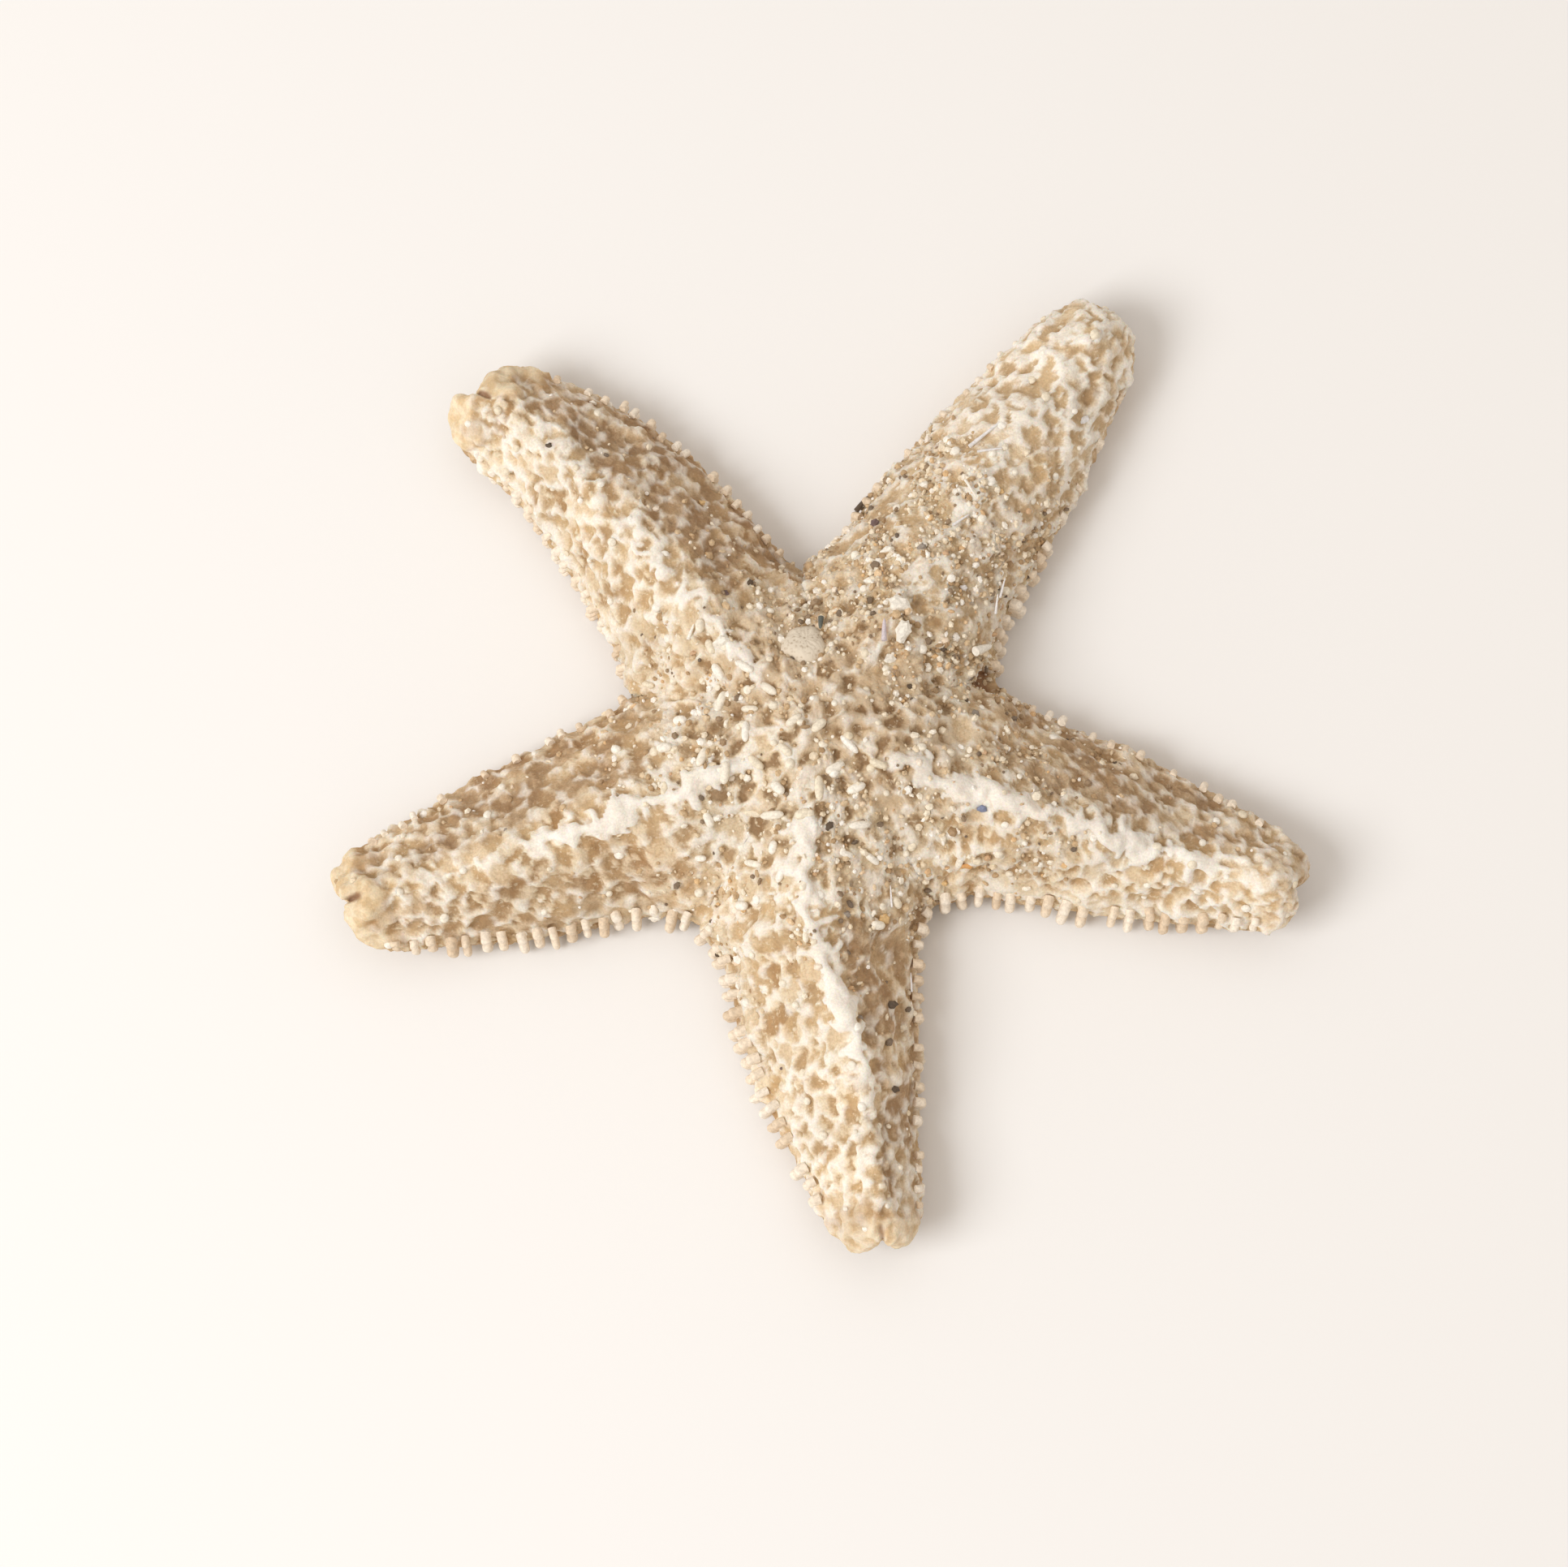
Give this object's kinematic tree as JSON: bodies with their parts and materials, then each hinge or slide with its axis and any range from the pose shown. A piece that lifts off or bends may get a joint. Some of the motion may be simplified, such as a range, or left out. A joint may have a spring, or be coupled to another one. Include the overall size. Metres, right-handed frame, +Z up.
{
  "type": "dried starfish",
  "caption": "Small dried starfish with blunt tapering arms, ridged back, spiny margins and a grooved underside, lying flat.",
  "frame": {"origin": "middle of the outline, on the surface that the starfish lies on", "axes": "+Z up out of the back; +Y between the two upper arms; +X to the right, towards the east arm"},
  "size_m": [0.0796, 0.0794, 0.0126],
  "materials": {
    "dried_skin": "matte"
  },
  "bodies": {
    "root": {"starfish": "dried_skin"}
  },
  "joints": []
}
